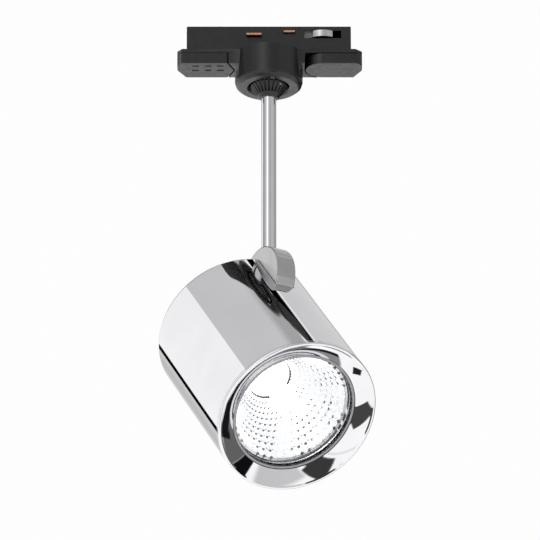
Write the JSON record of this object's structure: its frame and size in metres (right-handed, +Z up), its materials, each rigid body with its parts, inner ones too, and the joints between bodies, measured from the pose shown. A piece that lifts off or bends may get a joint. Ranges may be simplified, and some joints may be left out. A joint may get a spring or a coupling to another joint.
{
  "type": "track spotlight",
  "caption": "Chromed cylinder spotlight on a swivelling stem, hung from a black track adapter with a lock lever and a tilting knuckle.",
  "frame": {"origin": "on the stem's swivel axis, in the plane of the track's underside, which the adapter's flange lies on", "axes": "+Z up into the track; X along the track; -Y towards the adapter's front, where the lock lever swings out. At rest the head is turned 31 degrees from the front and its beam points 48 degrees below horizontal"},
  "size_m": [0.1135, 0.1248, 0.2617],
  "materials": {
    "black_moulding": "satin moulded black",
    "grey_moulding": "satin moulded grey",
    "contact_copper": "bright strip",
    "ceramic_white": "unglazed steatite",
    "plated_steel": "zinc plated",
    "bronze_bush": "sintered bronze",
    "friction_fibre": "fibre friction disc",
    "stem_chrome": "bright chrome tube",
    "head_chrome": "polished chrome plate",
    "ring_chrome": "polished chrome plate",
    "cover_black": "black paint",
    "cable_jacket": "white silicone sheath",
    "gasket_grey": "dark silicone",
    "reflector_mirror": "facetted mirror coat",
    "lamp_glass": "clear lamp glass",
    "front_glass": "clear toughened glass",
    "quartz": "quartz burner"
  },
  "bodies": {
    "adapter": {"adapter_base": "black_moulding", "adapter_top": "black_moulding", "terminal_cover": "black_moulding", "contact_carrier": "grey_moulding", "neutral_contact": "contact_copper", "earth_contacts": "contact_copper", "terminal_block": "ceramic_white", "adapter_screws": "plated_steel", "hub_screw": "plated_steel", "swivel_bush": "bronze_bush"},
    "lever": {"lock_lever": "black_moulding", "lever_shaft": "plated_steel", "locking_cam": "plated_steel", "lever_clip": "plated_steel"},
    "selector": {"circuit_selector": "grey_moulding", "phase_contact": "contact_copper"},
    "stem": {"swivel_spindle": "plated_steel", "swivel_nut": "black_moulding", "stem_set_screw": "plated_steel", "swivel_washer": "plated_steel", "swivel_lock_nut": "plated_steel", "swivel_stop_pin": "plated_steel", "stem_tube": "stem_chrome", "stem_cable": "cable_jacket", "knuckle_disc": "head_chrome"},
    "head": {"pivot_bracket": "plated_steel", "bracket_screws": "plated_steel", "pivot_bolt": "plated_steel", "pivot_nut": "plated_steel", "pivot_spring_washers": "plated_steel", "friction_discs": "friction_fibre", "tilt_stop_pin": "plated_steel", "housing": "head_chrome", "back_cover": "cover_black", "cover_screws": "plated_steel", "lampholder_strap": "plated_steel", "strap_screws": "plated_steel", "holder_screws": "plated_steel", "lampholder": "ceramic_white", "lamp_leads": "cable_jacket", "lamp_base": "ceramic_white", "lamp_reflector": "reflector_mirror", "lamp_capsule": "quartz", "lamp_lens": "lamp_glass"},
    "front_ring": {"bezel": "ring_chrome", "glass_gasket": "gasket_grey", "front_glass": "front_glass", "glass_retainer": "plated_steel"}
  },
  "joints": [
    {"name": "pan", "type": "hinge", "parent": "adapter", "child": "stem", "pos_m": [0, 0, 0], "axis": [0, 0, 1], "range_deg": [-201, 139]},
    {"name": "tilt", "type": "hinge", "parent": "stem", "child": "head", "pos_m": [0, 0, -0.1318], "axis": [0.8572, 0.515, 0], "range_deg": [-48, 42]},
    {"name": "ring_twist", "type": "hinge", "parent": "head", "child": "front_ring", "pos_m": [-0.01785, 0.0297, -0.14712], "axis": [0.3446, -0.5736, -0.7431], "range_deg": [-20, 0]},
    {"name": "lever_turn", "type": "hinge", "parent": "adapter", "child": "lever", "pos_m": [0.0289, 0, 0], "axis": [0, 0, 1], "range_deg": [-90, 0]},
    {"name": "selector_turn", "type": "hinge", "parent": "adapter", "child": "selector", "pos_m": [-0.026, 0, 0], "axis": [0, 0, 1], "range_deg": [-45, 45]}
  ]
}
